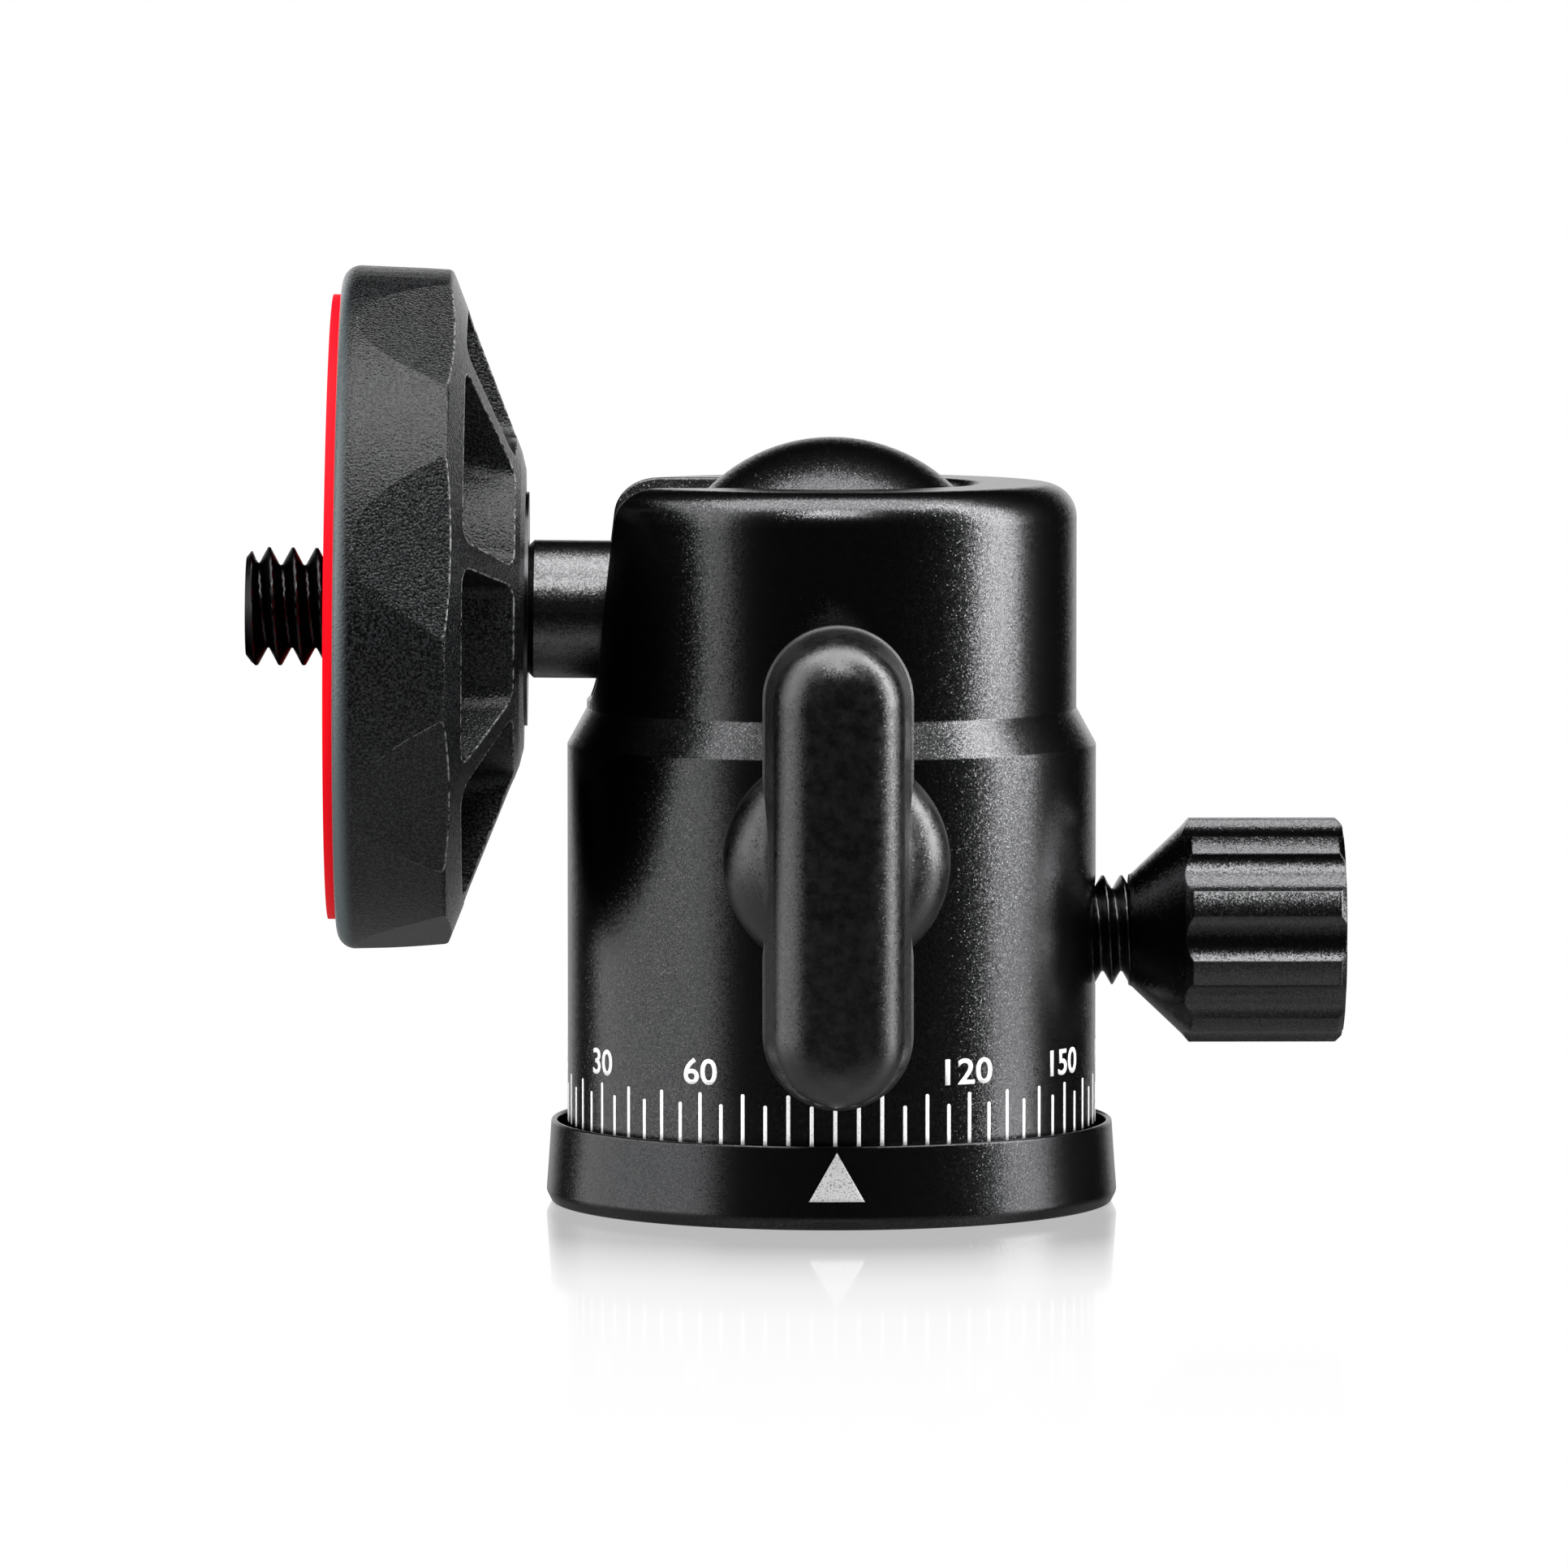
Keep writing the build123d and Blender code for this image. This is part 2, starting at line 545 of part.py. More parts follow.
def stem():
    """Post with a screwed end in the ball and a tapped hole for the camera screw."""
    post = turned(
        (0, STEM_STUD_S),
        (STEM_STUD_R, STEM_STUD_S),
        (STEM_STUD_R, STEM_SEAT_S + RUN),
        (STEM_R, STEM_SEAT_S + RUN),
        (STEM_R, STEM_END_S - STEM_CHAMFER),
        (STEM_R - STEM_CHAMFER, STEM_END_S),
        (0, STEM_END_S),
    )
    return HEAD_FRAME * (post - rod(SCREW_SHANK_R + FIT, SCREW_SHANK_S - FIT, STEM_END_S))


def stem_washer():
    return HEAD_FRAME * ring(SCREW_SHANK_R + FIT, WASHER_R, STEM_END_S, PLATE_S)


def cone_s(radius):
    """Place of the platform's coned back at a radius."""
    share = (radius - PLATE_SHOULDER_R) / (PLATE_BACK_R - PLATE_SHOULDER_R)
    return PLATE_SHOULDER_S + share * (PLATE_BACK_S - PLATE_SHOULDER_S)


def platform_ribs():
    """Radial ribs with drafted sides, one behind each flat of the rim."""
    spread = (POCKET_FLOOR_S - PLATE_S) * tan(radians(RIB_DRAFT))
    section = outline(
        (-RIB_W / 2, PLATE_S),
        (RIB_W / 2, PLATE_S),
        (RIB_W / 2 + spread, POCKET_FLOOR_S),
        (-RIB_W / 2 - spread, POCKET_FLOOR_S),
    )
    rib = extrude(Plane.YZ * section, PLATE_BACK_R)
    return around(rib, SCALLOPS, SCALLOP_START)


def platform_pockets():
    """The hollow between the boss and the rim, open to the coned back, less the ribs."""
    lean = tan(radians(POCKET_DRAFT))
    above = PLATE_S - OVERCUT
    inner_top = POCKET_IN_R - (cone_s(POCKET_IN_R) - above) * lean
    inner_floor = POCKET_IN_R + (POCKET_FLOOR_S - cone_s(POCKET_IN_R)) * lean
    outer_top = POCKET_OUT_R + (cone_s(POCKET_OUT_R) - above) * lean
    outer_floor = POCKET_OUT_R - (POCKET_FLOOR_S - cone_s(POCKET_OUT_R)) * lean
    hollow = turned(
        (inner_top, above),
        (outer_top, above),
        (outer_floor, POCKET_FLOOR_S),
        (inner_floor, POCKET_FLOOR_S),
    )
    hollow -= platform_ribs()
    uprights = [edge for edge in hollow.edges() if edge.bounding_box().size.Z > POCKET_DEPTH / 2]
    hollow = fillet(uprights, POCKET_CORNER)
    floors = hollow.edges().group_by(Axis.Z)[-1]
    return fillet(floors, POCKET_ROUND)


def platform_flats():
    """Cutters for the oblique flats round the rim, each fading out at the parting line."""
    back_r = PLATE_BACK_R * cos(radians(SCALLOP_HALF))
    lean = (PLATE_R - back_r) / (PLATE_PART_S - PLATE_BACK_S)
    foot = PLATE_S - OVERCUT
    outside = PLATE_R + OVERCUT
    section = Polyline(
        (PLATE_R, PLATE_PART_S),
        (back_r - lean * (PLATE_BACK_S - foot), foot),
        (outside, foot),
        (outside, PLATE_PART_S),
        close=True,
    )
    cutter = extrude(Plane.XZ * make_face(section), PLATE_R, both=True)
    return around(cutter, SCALLOPS, SCALLOP_START)


def platform():
    """Round moulded platform: coned back with ribs and pockets, faceted rim, seat for the pad."""
    body = turned(
        (SCREW_SHANK_R + FIT, PLATE_S),
        (PLATE_BOSS_R, PLATE_S),
        (PLATE_SHOULDER_R, PLATE_SHOULDER_S),
        (PLATE_BACK_R, PLATE_BACK_S, PLATE_BACK_ROUND),
        (PLATE_R, PLATE_PART_S),
        (PLATE_R - PLATE_FACE_LEAN, PLATE_FACE_S, PLATE_FACE_ROUND),
        (PAD_R + FIT, PLATE_FACE_S),
        (PAD_R + FIT, PAD_SEAT_S),
        (SCREW_FLANGE_R + FIT, PAD_SEAT_S),
        (SCREW_FLANGE_R + FIT, SCREW_SEAT_S),
        (SCREW_SHANK_R + FIT, SCREW_SEAT_S),
    )
    for cutter in platform_flats():
        body -= cutter
    return HEAD_FRAME * (body - platform_pockets())


def platform_pad():
    return HEAD_FRAME * ring(SCREW_R + FREE, PAD_R, PAD_SEAT_S, PAD_FACE_S)


def camera_screw():
    """Camera screw: shank into the stem, flange that clamps the platform, neck, threaded end."""
    return HEAD_FRAME * turned(
        (0, SCREW_SHANK_S),
        (SCREW_SHANK_R, SCREW_SHANK_S),
        (SCREW_SHANK_R, SCREW_SEAT_S),
        (SCREW_FLANGE_R, SCREW_SEAT_S),
        (SCREW_FLANGE_R, PAD_SEAT_S),
        (SCREW_NECK_R, PAD_SEAT_S),
        (SCREW_NECK_R, SCREW_THREAD_S),
        (SCREW_R, SCREW_THREAD_S),
        (SCREW_R, SCREW_TIP_S - SCREW_TIP_CHAMFER),
        (SCREW_R - SCREW_TIP_CHAMFER, SCREW_TIP_S),
        (0, SCREW_TIP_S),
    )


NODES = [
    base_disc,
    base_screws,
    pan_spindle,
    pan_thrust_washer,
    housing,
    upper_ball_seat,
    retaining_bush,
    spindle_washer,
    floor_plate,
    wedge_block,
    lower_ball_cup,
    lever_stud,
    lever_insert,
    lever_grip,
    pan_lock_pad,
    pan_lock_stud,
    pan_knob,
    ball,
    stem,
    stem_washer,
    platform,
    platform_pad,
    camera_screw,
]

os.makedirs("parts", exist_ok=True)
for node in NODES:
    made = node()
    shape = Compound(children=made) if isinstance(made, list) else made
    export_step(shape, f"parts/{node.__name__}.step")
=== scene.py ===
"""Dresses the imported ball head: finishes for its CAD nodes, degree scale, index mark and threads.

Lengths are millimetres in the shared frame: +Z up the pan axis, +X to the pan knob, -Y to the lever.
"""

import json

import bpy
import numpy as np
from mathutils import Matrix, Vector


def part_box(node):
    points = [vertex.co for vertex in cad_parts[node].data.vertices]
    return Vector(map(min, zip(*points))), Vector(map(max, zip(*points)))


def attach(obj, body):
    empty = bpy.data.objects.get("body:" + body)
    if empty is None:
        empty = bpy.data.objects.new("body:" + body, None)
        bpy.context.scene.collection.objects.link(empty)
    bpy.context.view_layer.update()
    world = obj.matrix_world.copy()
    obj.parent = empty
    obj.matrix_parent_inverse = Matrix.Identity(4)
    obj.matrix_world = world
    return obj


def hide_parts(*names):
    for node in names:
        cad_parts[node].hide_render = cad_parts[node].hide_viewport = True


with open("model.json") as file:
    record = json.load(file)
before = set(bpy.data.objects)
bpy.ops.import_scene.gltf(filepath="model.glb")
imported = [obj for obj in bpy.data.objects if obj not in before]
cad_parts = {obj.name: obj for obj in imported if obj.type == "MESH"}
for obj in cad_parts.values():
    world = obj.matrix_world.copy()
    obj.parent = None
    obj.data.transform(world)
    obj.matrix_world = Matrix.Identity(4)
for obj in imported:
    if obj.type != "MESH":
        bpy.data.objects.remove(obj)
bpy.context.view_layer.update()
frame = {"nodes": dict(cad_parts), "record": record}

MM = 0.001
BARREL_R = 14.15
BED_FOOT = (0.6, 15.3)        # height and radius where the bed rim is widest
BED_RIM = (4.42, 15.03)       # and at the top of its slope
BALL_Z = 31.6
PAN_LOCK_Z = 14.5
PAD_R, PAD_Z = 16.7, 31.88    # the red pad's radius and the height of its middle
MARK_PROUD = 0.018            # painted marks stand this far out of the metal
MARK_DEEP = 0.02              # and reach this far into it

# ---- small helpers for meshes -----------------------------------------------------------------------


def in_scene(name, data):
    """New object with that data, at the origin."""
    thing = bpy.data.objects.new(name, data)
    bpy.context.scene.collection.objects.link(thing)
    return thing


def mesh_piece(name, points, faces, smooth=True):
    """Object at the origin from points in millimetres and lists of corner numbers."""
    mesh = bpy.data.meshes.new(name)
    mesh.from_pydata((np.asarray(points) * MM).tolist(), [], [list(map(int, f)) for f in faces])
    mesh.validate()
    mesh.polygons.foreach_set("use_smooth", [smooth] * len(mesh.polygons))
    return in_scene(name, mesh)


def grid_faces(rows, columns, wrap=False, start=0):
    """Quads between the rows of a rows x columns grid of points; wrap joins the last column to the first."""
    across = columns if wrap else columns - 1
    i, j = np.meshgrid(np.arange(rows - 1), np.arange(across), indexing="ij")
    k = (j + 1) % columns
    quads = np.stack([i * columns + j, i * columns + k, (i + 1) * columns + k, (i + 1) * columns + j], -1)
    return quads.reshape(-1, 4) + start


def thicken(piece, thickness):
    """Closed slab: the surface stays where it is and the back lies a thickness below it."""
    solid = piece.modifiers.new("slab", "SOLIDIFY")
    solid.thickness = thickness * MM
    solid.offset = -1
    return piece


def on_cylinder(radius, angle, height):
    """Point round the pan axis: angle 0 faces the lever (-Y) and grows towards the knob (+X)."""
    return np.stack([radius * np.sin(angle), -radius * np.cos(angle), height], -1)


def placed(points, origin, x_dir, z_dir):
    """Points of a local frame, carried to an axis: origin + x * x_dir + y * (z_dir x x_dir) + z * z_dir."""
    x_dir, z_dir = np.array(x_dir, float), np.array(z_dir, float)
    y_dir = np.cross(z_dir, x_dir)
    return np.array(origin) + points @ np.stack([x_dir, y_dir, z_dir])


# ---- degree scale and index mark ----------------------------------------------------------------------
SCALE_TURN = np.radians(-0.25)      # the 90 degree tick stands this far from the lever's side
TICK_FOOT, TICK_SHORT, TICK_LONG = 4.3, 6.44, 7.01
TICK_HALF = 0.1
NUMBER_FOOT, NUMBER_H = 7.41, 1.39
NUMBER_W = {1: 0.98, 2: 2.01, 3: 2.89}      # by how many digits there are
NUMBER_WEIGHT = 0.013               # the digits are this much bolder than the plain font


def scale_angle(degrees):
    return np.radians(np.asarray(degrees) - 90.0) + SCALE_TURN


def scale_ticks():
    """72 upright marks with round tops. Across u in -1..1 and up v in 0..1 a mark is
    angle = its place + u * half * w(v) / R, height = foot + v * length, where w is 1 along the mark and
    falls as the square root of 1 - t^2 over the last half width."""
    straight_rows, top_rows, columns, last_t = 6, 6, 5, 0.94
    degrees = np.arange(0, 360, 5)
    top = np.where(degrees % 10 == 0, TICK_LONG, TICK_SHORT)
    t = np.linspace(0, last_t, top_rows)
    rise = np.concatenate([np.linspace(0, 1, straight_rows + 1)[:-1], 1 + t])
    wide = np.concatenate([np.ones(straight_rows), np.sqrt(1 - t**2)])
    u = np.linspace(-1, 1, columns)
    points, faces = [], []
    for place, head in zip(scale_angle(degrees), top):
        straight = head - TICK_HALF - TICK_FOOT
        height = TICK_FOOT + np.where(rise <= 1, rise * straight, straight + (rise - 1) * TICK_HALF)
        angle = place + np.outer(wide, u) * TICK_HALF / BARREL_R
        surface = on_cylinder(BARREL_R + MARK_PROUD, angle, np.repeat(height[:, None], u.size, 1))
        faces.append(grid_faces(rise.size, u.size, start=sum(len(p) for p in points)))
        points.append(surface.reshape(-1, 3))
    piece = mesh_piece("scale_ticks", np.concatenate(points), np.concatenate(faces))
    return thicken(piece, MARK_PROUD + MARK_DEEP)


def scale_numbers():
    """The numbers every 30 degrees: flat text fitted to its width and height, then rolled on to the barrel,
    angle = place + x / R and height = foot + y."""
    points, faces, total = [], [], 0
    for degree in range(0, 360, 30):
        text = bpy.data.curves.new("number", "FONT")
        text.body = str(degree)
        text.fill_mode = "FRONT"
        text.offset = NUMBER_WEIGHT
        text.resolution_u = 4
        flat = in_scene("number", text)
        bpy.context.view_layer.update()
        mesh = bpy.data.meshes.new_from_object(flat)
        co = np.zeros(len(mesh.vertices) * 3)
        mesh.vertices.foreach_get("co", co)
        co = co.reshape(-1, 3)
        low, high = co.min(0), co.max(0)
        x = (co[:, 0] - (low[0] + high[0]) / 2) / (high[0] - low[0]) * NUMBER_W[len(text.body)]
        y = (co[:, 1] - low[1]) / (high[1] - low[1]) * NUMBER_H
        points.append(on_cylinder(BARREL_R + MARK_PROUD, scale_angle(degree) + x / BARREL_R, NUMBER_FOOT + y))
        faces += [[v + total for v in p.vertices] for p in mesh.polygons]
        total += len(co)
        bpy.data.objects.remove(flat)
        bpy.data.meshes.remove(mesh)
        bpy.data.curves.remove(text)
    return thicken(mesh_piece("scale_numbers", np.concatenate(points), faces), MARK_PROUD + MARK_DEEP)


def index_triangle():
    """Upright triangle on the bed's sloping rim: angle = u * half * (1 - v) / R, height = foot + v * length,
    radius = the rim's straight slope at that height."""
    foot, apex, half, turn = 1.53, 4.10, 1.47, np.radians(0.03)
    rows, columns, last_v = 16, 17, 0.995
    v = np.linspace(0, last_v, rows)[:, None]
    u = np.linspace(-1, 1, columns)[None, :]
    height = foot + v * (apex - foot) + 0 * u
    slope = (BED_RIM[1] - BED_FOOT[1]) / (BED_RIM[0] - BED_FOOT[0])
    radius = BED_FOOT[1] + (height - BED_FOOT[0]) * slope + MARK_PROUD
    surface = on_cylinder(radius, turn + u * half * (1 - v) / BED_FOOT[1], height)
    piece = mesh_piece("index_triangle", surface.reshape(-1, 3), grid_faces(rows, columns))
    return thicken(piece, MARK_PROUD + MARK_DEEP)


# ---- threads ------------------------------------------------------------------------------------------
CORE = 0.001                        # radius at which a rod's end faces start
SAME = 1e-6                         # heights that are closer than this are one
RINGS_A_PITCH = 26
CREST_FLAT, FLANK = 0.09, 0.8       # shares of half a pitch
CREASE = np.radians(38)             # edges sharper than this stay sharp
RISE = np.radians(0.6)              # the stem points this far above the level
HEAD_AXIS = (-np.cos(RISE), 0, np.sin(RISE))


def threaded_rod(name, outline, axis, low, high, crest, depth, pitch, crest_at, lathe=96):
    """Turned rod with a right-hand thread. outline is (height, radius) corners. Between the heights low and
    high the radius is crest - depth * dip(phase), or the outline's if that is less, with
    phase = (height - crest_at) / pitch - angle / turn and dip 0 on the crest's flat, 1 on the root's flat
    and straight on the flanks. It fades in and out over half a pitch at both ends. axis is the place of
    height 0, the way of angle 0 and the way of height."""
    fine = np.linspace(low, high, int((high - low) / pitch * RINGS_A_PITCH))
    heights, radii = [], []
    for (h0, r0), (h1, r1) in zip(outline, outline[1:]):
        heights += [h0]
        radii += [r0]
        if h0 <= low < h1 or low <= h0 < high:
            inner = fine[(fine > h0 + SAME) & (fine < h1 - SAME)]
            heights += inner.tolist()
            radii += np.interp(inner, [h0, h1], [r0, r1]).tolist()
    heights, radii = np.array(heights + [outline[-1][0]]), np.array(radii + [outline[-1][1]])
    angle = np.linspace(0, 2 * np.pi, lathe, endpoint=False)[None, :]
    h, r = heights[:, None], radii[:, None]
    phase = np.abs(((h - crest_at) / pitch - angle / (2 * np.pi) + 0.5) % 1.0 - 0.5) * 2
    dip = np.clip((phase - CREST_FLAT) / FLANK, 0, 1)
    ease = np.clip(np.minimum(h - low, high - h) / (pitch / 2), 0, 1)
    inside = (h >= low) & (h <= high)
    cut = crest - depth * dip * ease
    radius = np.where(inside, np.minimum(r, cut), r + 0 * angle)
    ring = np.stack([radius * np.cos(angle), radius * np.sin(angle), h + 0 * angle], -1)
    points = np.concatenate([ring.reshape(-1, 3), [[0, 0, heights[0]], [0, 0, heights[-1]]]])
    faces = grid_faces(heights.size, lathe, wrap=True).tolist()
    first, last = len(points) - 2, len(points) - 1
    end = (heights.size - 1) * lathe
    faces += [[first, (j + 1) % lathe, j] for j in range(lathe)]
    faces += [[last, end + j, end + (j + 1) % lathe] for j in range(lathe)]
    piece = mesh_piece(name, placed(points, *axis), faces)
    piece.data.set_sharp_from_angle(angle=CREASE)
    return piece


def camera_screw_thread():
    """1/4 inch 20 screw along the stem: shank, clamping flange and threaded end."""
    shank, flange, root, crest, point = 2.5, 5.5, 3.13, 3.175, 2.62
    tail, flange_foot, flange_top, thread_foot, taper, tip = 11.72, 24.56, 25.76, 26.2, 30.86, 31.3
    outline = [
        (tail, CORE), (tail, shank), (flange_foot, shank), (flange_foot, flange), (flange_top, flange),
        (flange_top, shank), (thread_foot, shank), (thread_foot, root), (taper, crest), (tip, point),
        (tip, CORE),
    ]
    axis = ((0, 0, BALL_Z), (0, -1, 0), HEAD_AXIS)
    return threaded_rod(
        "camera_screw_thread", outline, axis,
        low=26.1, high=31.25, crest=crest, depth=0.95, pitch=1.27, crest_at=28.5,
    )


def pan_lock_thread():
    """M6 stud of the pan lock, between its nylon tip and the knob."""
    low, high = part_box("pan_lock_stud")
    start, stop = low.x / MM, high.x / MM
    crest, point, taper = 2.93, 2.6, 0.3
    outline = [
        (start, CORE), (start, point), (start + taper, crest),
        (stop - taper, crest), (stop, point), (stop, CORE),
    ]
    axis = ((0, 0, PAN_LOCK_Z), (0, 1, 0), (1, 0, 0))
    return threaded_rod(
        "pan_lock_thread", outline, axis,
        low=start, high=stop, crest=crest, depth=0.7, pitch=1.0, crest_at=15.3, lathe=64,
    )


# ---- knob ---------------------------------------------------------------------------------------------
def numbers_of(items, key, kind, width):
    """One attribute of every item of a mesh, as rows of so many numbers."""
    values = np.zeros(len(items) * width, kind)
    items.foreach_get(key, values)
    return values.reshape(-1, width)


def knob_with_true_end():
    """The knob's own triangles and normals, but the tip of its coned end is one point that faces along X."""
    tip_depth = 0.01
    mesh = frame["nodes"]["pan_knob"].data
    points = numbers_of(mesh.vertices, "co", float, 3) / MM
    faces = numbers_of(mesh.loops, "vertex_index", int, 1).reshape(-1, 3)
    normals = numbers_of(mesh.corner_normals, "vector", float, 3).reshape(-1, 3, 3)
    tips = np.flatnonzero(points[:, 0] > points[:, 0].max() - tip_depth)
    at_tip = np.isin(faces, tips)
    faces[at_tip] = tips[0]
    normals[at_tip] = (1, 0, 0)
    whole = at_tip.sum(1) < 2
    piece = mesh_piece("knob_with_true_end", points, faces[whole])
    piece.data.normals_split_custom_set(normals[whole].reshape(-1, 3).tolist())
    return piece


# ---- shaders ------------------------------------------------------------------------------------------
BEVEL_SAMPLES = 4
CLOUDY = (0.3, 0.7)         # a noise lies mostly between these


class Graph:
    """A shader's nodes, with short ways to add them, join them and work on their values."""

    def __init__(self, tree):
        self.tree = tree
        tree.nodes.clear()

    def add(self, kind, **settings):
        node = self.tree.nodes.new(kind)
        for key, value in settings.items():
            setattr(node, key, value)
        return node

    def link(self, source, socket):
        self.tree.links.new(source, socket)

    def put(self, value, socket):
        """Sets a socket to a number or tuple, or links it to another socket."""
        if isinstance(value, (int, float, tuple)):
            socket.default_value = value
        else:
            self.link(value, socket)

    def spread(self, value, low, high, to_low=0, to_high=1, smooth=False):
        """value between low and high carried to between to_low and to_high, and held there beyond them."""
        node = self.add("ShaderNodeMapRange", interpolation_type="SMOOTHSTEP" if smooth else "LINEAR")
        self.link(value, node.inputs["Value"])
        for socket, number in zip(("From Min", "From Max", "To Min", "To Max"), (low, high, to_low, to_high)):
            node.inputs[socket].default_value = number
        return node.outputs["Result"]

    def math(self, a, b=0.0, operation="ADD"):
        node = self.add("ShaderNodeMath", operation=operation)
        for socket, value in zip(node.inputs, (a, b)):
            self.put(value, socket)
        return node.outputs["Value"]

    def vectors(self, operation, a, b=None):
        node = self.add("ShaderNodeVectorMath", operation=operation)
        self.put(a, node.inputs[0])
        if b is not None:
            self.put(b, node.inputs[1])
        return node.outputs["Value" if operation in ("LENGTH", "DOT_PRODUCT") else "Vector"]

    def parts(self, vector):
        """The X, Y and Z of a vector."""
        node = self.add("ShaderNodeSeparateXYZ")
        self.link(vector, node.inputs["Vector"])
        return node.outputs


class Finish(Graph):
    """A node material: principled shader, with small helpers for patterns on Object coordinates."""

    def __init__(self, name, shade, roughness, metallic=0.0, specular=0.5):
        self.material = bpy.data.materials.new(name)
        self.material.use_nodes = True
        super().__init__(self.material.node_tree)
        self.shader = self.add("ShaderNodeBsdfPrincipled")
        self.all_over("Base Color", (*shade, 1))
        self.all_over("Metallic", metallic)
        self.all_over("Roughness", roughness)
        self.all_over("Specular IOR Level", specular)
        out = self.add("ShaderNodeOutputMaterial")
        self.link(self.shader.outputs["BSDF"], out.inputs["Surface"])
        self.where = self.add("ShaderNodeTexCoord").outputs["Object"]
        self.normal = None

    def all_over(self, socket, value):
        """One number or colour of the shader for the whole surface."""
        self.shader.inputs[socket].default_value = value

    def stretched(self, scale):
        """Coordinates stretched by a scale for each axis."""
        mapping = self.add("ShaderNodeMapping")
        mapping.inputs["Scale"].default_value = scale
        self.link(self.where, mapping.inputs["Vector"])
        return mapping.outputs["Vector"]

    def noise(self, per_metre, detail=2.0, stretch=None, rough=0.5):
        """Cloudy noise, 0..1, with so many cells to the metre."""
        node = self.add("ShaderNodeTexNoise")
        node.inputs["Scale"].default_value = per_metre
        node.inputs["Detail"].default_value = detail
        node.inputs["Roughness"].default_value = rough
        self.link(self.stretched(stretch) if stretch else self.where, node.inputs["Vector"])
        return node.outputs["Fac"]

    def cells(self, size_mm):
        """Random cells of so many millimetres: each one's colour, and the distance to its middle."""
        node = self.add("ShaderNodeTexVoronoi")
        node.inputs["Scale"].default_value = 1000 / size_mm
        self.link(self.where, node.inputs["Vector"])
        return node.outputs

    def grains(self, size_mm):
        """Random number and colour for each cell of so many millimetres."""
        chance = self.add("ShaderNodeTexWhiteNoise")
        self.link(self.cells(size_mm)["Color"], chance.inputs["Vector"])
        return chance.outputs

    def tones(self, factor, dark, light):
        """Base colour from dark to light by a factor of 0..1. dark may be what an earlier tones gave."""
        node = self.add("ShaderNodeMix", data_type="RGBA")
        self.link(factor, node.inputs["Factor"])
        sockets = [s for s in node.inputs if s.type == "RGBA"]
        self.put((*dark, 1) if isinstance(dark, tuple) else dark, sockets[0])
        self.put((*light, 1), sockets[1])
        out = [s for s in node.outputs if s.type == "RGBA"][0]
        self.link(out, self.shader.inputs["Base Color"])
        return out

    def roughness(self, value):
        self.link(value, self.shader.inputs["Roughness"])

    def face(self, normal):
        """Uses a normal for the shader and for whatever relief comes after it."""
        self.normal = normal
        self.link(normal, self.shader.inputs["Normal"])

    def true_normal(self):
        return self.add("ShaderNodeNewGeometry").outputs["Normal"]

    def bevelled(self, radius_mm):
        """Normal of the same surface with its edges rounded by so many millimetres."""
        node = self.add("ShaderNodeBevel", samples=BEVEL_SAMPLES)
        node.inputs["Radius"].default_value = radius_mm * MM
        return node.outputs["Normal"]

    def rounded(self, radius_mm):
        """Edges that catch the light as if rounded by so many millimetres."""
        self.face(self.bevelled(radius_mm))

    def worn(self, radius_mm, dark, light):
        """Painted highlight: base colour that turns from dark to light along outer edges, broken up by a fine
        noise.
        """
        turn = self.vectors("DOT_PRODUCT", self.bevelled(radius_mm), self.true_normal())
        edge = self.spread(turn, 0.99, 0.94)
        broken = self.spread(self.noise(3000, detail=3), 0.42, 0.6)
        self.tones(self.math(edge, broken, "MULTIPLY"), dark, light)

    def bump(self, height, depth_mm):
        """Relief of so many millimetres from a height of 0..1."""
        node = self.add("ShaderNodeBump")
        node.inputs["Distance"].default_value = depth_mm * MM
        self.link(height, node.inputs["Height"])
        if self.normal:
            self.link(self.normal, node.inputs["Normal"])
        self.face(node.outputs["Normal"])

    def facets(self, grains, lean, steep, toward=(1, 1, 1), rare=7):
        """Tiny flat facets: every grain leans some random way, most by about lean, a rare few up to steep.
        toward weighs the three ways, and a larger rare makes the steep ones rarer."""
        amount = self.spread(self.math(grains["Value"], rare, "POWER"), 0, 1, lean, steep)
        centred = self.vectors("SUBTRACT", grains["Color"], (0.5, 0.5, 0.5))
        leaning = self.add("ShaderNodeVectorMath", operation="SCALE")
        self.link(self.vectors("MULTIPLY", centred, toward), leaning.inputs["Vector"])
        self.link(amount, leaning.inputs["Scale"])
        turned = self.vectors("ADD", self.normal or self.true_normal(), leaning.outputs["Vector"])
        self.face(self.vectors("NORMALIZE", turned))


# ---- finishes -----------------------------------------------------------------------------------------
def times(shade, factor):
    return tuple(factor * c for c in shade)


def blasted(name, shade, roughness, grain_mm, speckle, lean, steep, edge_mm=0.1, rare=6):
    """Blasted and anodised aluminium: every tiny grain has its own tone and leans its own way."""
    finish = Finish(name, shade, roughness, metallic=1.0)
    grains = finish.grains(grain_mm)
    finish.tones(grains["Value"], times(shade, 1 - speckle), times(shade, 1 + speckle))
    if edge_mm:
        finish.rounded(edge_mm)
    finish.facets(grains, lean, steep, rare=rare)
    return finish.material


def turned_metal(name, shade, roughness, lines, depth_mm, stretch, grazing=1.0):
    """Turned steel or brass: fine tool lines round the part. grazing dims what it mirrors at a flat angle."""
    finish = Finish(name, shade, roughness, metallic=1.0)
    finish.all_over("Specular Tint", (grazing, grazing, grazing, 1))
    marks = finish.noise(lines, detail=3, stretch=stretch, rough=0.6)
    finish.tones(finish.noise(400), times(shade, 0.85), times(shade, 1.12))
    finish.roughness(finish.spread(marks, *CLOUDY, roughness - 0.05, roughness + 0.06))
    finish.bump(marks, depth_mm)
    return finish.material


